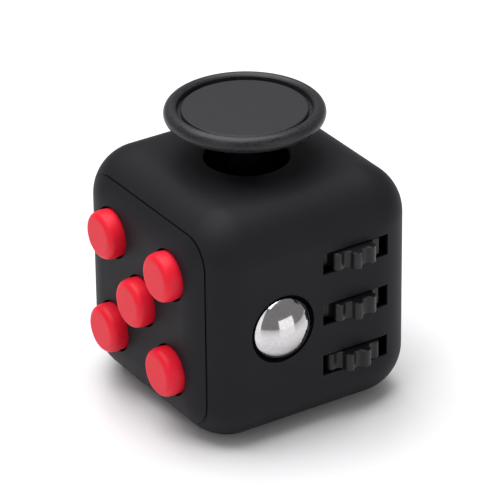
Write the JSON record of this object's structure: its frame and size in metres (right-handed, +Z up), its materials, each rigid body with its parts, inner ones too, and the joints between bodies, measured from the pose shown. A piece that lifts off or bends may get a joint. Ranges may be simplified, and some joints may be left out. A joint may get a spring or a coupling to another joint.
{
  "type": "fidget cube",
  "caption": "Rounded hand-held cube with a joystick, push buttons, a rolling ball, thumb gears, a spin dial, a rocker switch and a thumb dish.",
  "frame": {"origin": "centre of the cube's bottom face, on the plane that it stands on", "axes": "+Z up out of the joystick face, -Y out of the ball and gear face, -X out of the push button face"},
  "size_m": [0.0374, 0.0376, 0.0403],
  "materials": {
    "shell_black": "soft-touch matte, fine grain",
    "joystick_black": "satin, fine spark texture",
    "pad_black": "satin, fine spark texture",
    "button_rubber": "matte silicone rubber",
    "dome_rubber": "translucent silicone",
    "ball_steel": "polished",
    "gear_black": "satin acetal",
    "dial_black": "soft-touch matte",
    "rocker_black": "satin",
    "socket_black": "smooth moulded",
    "frame_plastic": "as moulded",
    "steel": "plain zinc",
    "spring_steel": "hardened"
  },
  "bodies": {
    "root": {"front_shell": "shell_black", "rear_shell": "shell_black", "joystick_housing": "frame_plastic", "joystick_screws": "steel", "joystick_spring": "spring_steel", "button_plate": "frame_plastic", "button_plate_screws": "steel", "button_dome_top_front": "dome_rubber", "button_dome_top_back": "dome_rubber", "button_dome_centre": "dome_rubber", "button_dome_bottom_front": "dome_rubber", "button_dome_bottom_back": "dome_rubber", "ball_spring": "spring_steel", "ball_bridge": "frame_plastic", "ball_bridge_screws": "steel", "gear_axle": "steel", "gear_cage": "frame_plastic", "gear_spacers": "frame_plastic", "gear_axle_clips": "steel", "gear_cage_screws": "steel", "dial_wave_washer": "spring_steel", "rocker_pin": "steel", "rocker_frame": "frame_plastic", "rocker_spring": "spring_steel", "rocker_frame_screws": "steel"},
    "gimbal": {"gimbal_ring": "frame_plastic"},
    "joystick": {"joystick_stem": "joystick_black", "joystick_cross_pin": "steel", "joystick_cap": "joystick_black", "joystick_pad": "pad_black"},
    "ball_button": {"ball_socket": "socket_black"},
    "ball": {"ball": "ball_steel"},
    "gear_top": {"gear_top": "gear_black"},
    "gear_middle": {"gear_middle": "gear_black"},
    "gear_bottom": {"gear_bottom": "gear_black"},
    "spin_dial": {"spin_dial": "dial_black", "dial_washer": "steel", "dial_screw": "steel"},
    "rocker": {"rocker": "rocker_black"},
    "button_top_front": {"button_top_front": "button_rubber"},
    "button_top_back": {"button_top_back": "button_rubber"},
    "button_centre": {"button_centre": "button_rubber"},
    "button_bottom_front": {"button_bottom_front": "button_rubber"},
    "button_bottom_back": {"button_bottom_back": "button_rubber"}
  },
  "joints": [
    {"name": "joystick_tilt_x", "type": "hinge", "parent": "root", "child": "gimbal", "pos_m": [0, 0.0003, 0.026], "axis": [1, 0, 0], "range_deg": [-15, 15], "stiffness_Nm_per_rad": 0.02, "deforming": ["joystick_spring"]},
    {"name": "joystick_tilt_y", "type": "hinge", "parent": "gimbal", "child": "joystick", "pos_m": [0, 0.0003, 0.026], "axis": [0, 1, 0], "range_deg": [-15, 15], "stiffness_Nm_per_rad": 0.02, "deforming": ["joystick_spring"]},
    {"name": "ball_click", "type": "slide", "parent": "root", "child": "ball_button", "axis": [0, 1, 0], "range_m": [0, 0.0008], "stiffness_N_per_m": 1500, "springref_m": -0.0004, "deforming": ["ball_spring"]},
    {"name": "ball_roll", "type": "hinge", "parent": "ball_button", "child": "ball", "pos_m": [-0.00525, -0.01365, 0.0165], "axis": [1, 0, 0], "continuous": true},
    {"name": "gear_top_spin", "type": "hinge", "parent": "root", "child": "gear_top", "pos_m": [0.006, -0.01365, 0.02393], "axis": [0, 0, 1], "continuous": true},
    {"name": "gear_middle_spin", "type": "hinge", "parent": "root", "child": "gear_middle", "pos_m": [0.006, -0.01365, 0.01649], "axis": [0, 0, 1], "continuous": true},
    {"name": "gear_bottom_spin", "type": "hinge", "parent": "root", "child": "gear_bottom", "pos_m": [0.006, -0.01365, 0.00905], "axis": [0, 0, 1], "continuous": true},
    {"name": "button_top_front_press", "type": "slide", "parent": "root", "child": "button_top_front", "axis": [1, 0, 0], "range_m": [0, 0.001], "stiffness_N_per_m": 1200, "springref_m": -0.0004, "deforming": ["button_dome_top_front"]},
    {"name": "button_top_back_press", "type": "slide", "parent": "root", "child": "button_top_back", "axis": [1, 0, 0], "range_m": [0, 0.001], "stiffness_N_per_m": 1200, "springref_m": -0.0004, "deforming": ["button_dome_top_back"]},
    {"name": "button_centre_press", "type": "slide", "parent": "root", "child": "button_centre", "axis": [1, 0, 0], "range_m": [0, 0.001], "stiffness_N_per_m": 1200, "springref_m": -0.0004, "deforming": ["button_dome_centre"]},
    {"name": "button_bottom_front_press", "type": "slide", "parent": "root", "child": "button_bottom_front", "axis": [1, 0, 0], "range_m": [0, 0.001], "stiffness_N_per_m": 1200, "springref_m": -0.0004, "deforming": ["button_dome_bottom_front"]},
    {"name": "button_bottom_back_press", "type": "slide", "parent": "root", "child": "button_bottom_back", "axis": [1, 0, 0], "range_m": [0, 0.001], "stiffness_N_per_m": 1200, "springref_m": -0.0004, "deforming": ["button_dome_bottom_back"]},
    {"name": "dial_spin", "type": "hinge", "parent": "root", "child": "spin_dial", "pos_m": [0.0165, 0, 0.0165], "axis": [1, 0, 0], "continuous": true},
    {"name": "rocker_flip", "type": "hinge", "parent": "root", "child": "rocker", "pos_m": [0, 0.0136, 0.0165], "axis": [1, 0, 0], "range_deg": [0, 22], "deforming": ["rocker_spring"]}
  ]
}
